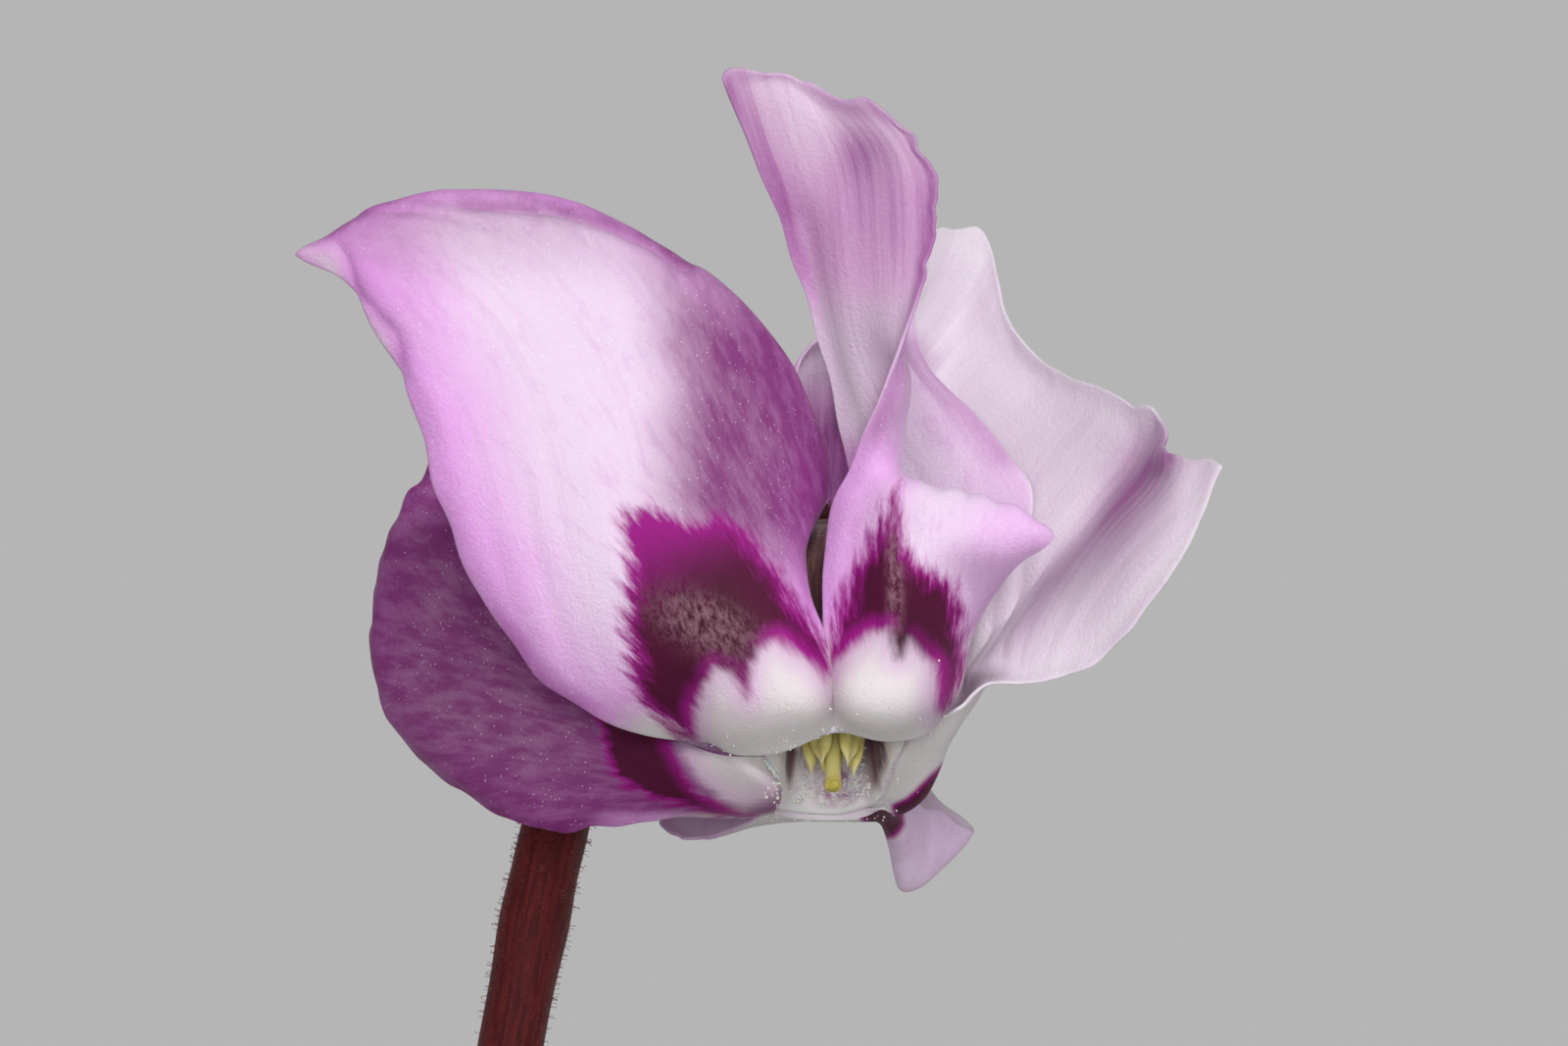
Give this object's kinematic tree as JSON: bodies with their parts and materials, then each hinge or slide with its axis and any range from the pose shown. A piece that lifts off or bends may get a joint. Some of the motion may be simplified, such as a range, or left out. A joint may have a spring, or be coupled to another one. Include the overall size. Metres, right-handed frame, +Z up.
{
  "type": "potted cyclamen",
  "caption": "Hardy cyclamen in flower in a plain clay pot: round marbled leaves round a tuber, and nodding pale pink flowers with turned-back petals and a dark blotch at the mouth",
  "frame": {"origin": "on the pot's axis, at the plane it stands on", "axes": "+Z up, -Y the side that the front flower faces, +X to its right seen from the front"},
  "size_m": [0.1303, 0.1297, 0.1683],
  "materials": {
    "clay": "matte",
    "soil": "matte",
    "tuber": "matte",
    "leaf": "satin",
    "stalk": "matte",
    "calyx": "matte",
    "petal": "satin",
    "corolla_tube": "satin",
    "anther": "matte"
  },
  "bodies": {
    "root": {"pot": "clay", "soil": "soil", "tuber": "tuber", "leaf_01": "leaf", "leaf_02": "leaf", "leaf_03": "leaf", "leaf_04": "leaf", "leaf_05": "leaf", "leaf_06": "leaf", "leaf_07": "leaf", "leaf_08": "leaf", "leaf_09": "leaf", "leaf_10": "leaf", "leaf_11": "leaf", "leaf_12": "leaf", "leaf_13": "leaf", "leaf_14": "leaf", "leaf_15": "leaf", "leaf_16": "leaf", "leaf_17": "leaf", "leaf_18": "leaf", "flower_1_pedicel": "stalk", "flower_1_calyx": "calyx", "flower_1_corolla_tube": "corolla_tube", "flower_1_petal_front_left": "petal", "flower_1_petal_front_right": "petal", "flower_1_petal_right": "petal", "flower_1_petal_left": "petal", "flower_1_petal_back": "petal", "flower_1_anthers": "anther", "flower_1_style": "anther", "flower_2_pedicel": "stalk", "flower_2_calyx": "calyx", "flower_2_corolla": "petal", "flower_2_stamens_and_style": "anther", "flower_3_pedicel": "stalk", "flower_3_calyx": "calyx", "flower_3_corolla": "petal", "flower_3_stamens_and_style": "anther", "flower_4_pedicel": "stalk", "flower_4_calyx": "calyx", "flower_4_corolla": "petal", "flower_4_stamens_and_style": "anther", "flower_5_pedicel": "stalk", "flower_5_calyx": "calyx", "flower_5_corolla": "petal", "flower_5_stamens_and_style": "anther", "flower_6_pedicel": "stalk", "flower_6_calyx": "calyx", "flower_6_corolla": "petal", "flower_6_stamens_and_style": "anther", "bud_1_pedicel": "stalk", "bud_1_calyx": "calyx", "bud_1_petals": "petal", "bud_2_pedicel": "stalk", "bud_2_calyx": "calyx", "bud_2_petals": "petal", "bud_3_pedicel": "stalk", "bud_3_calyx": "calyx", "bud_3_petals": "petal"}
  },
  "joints": []
}
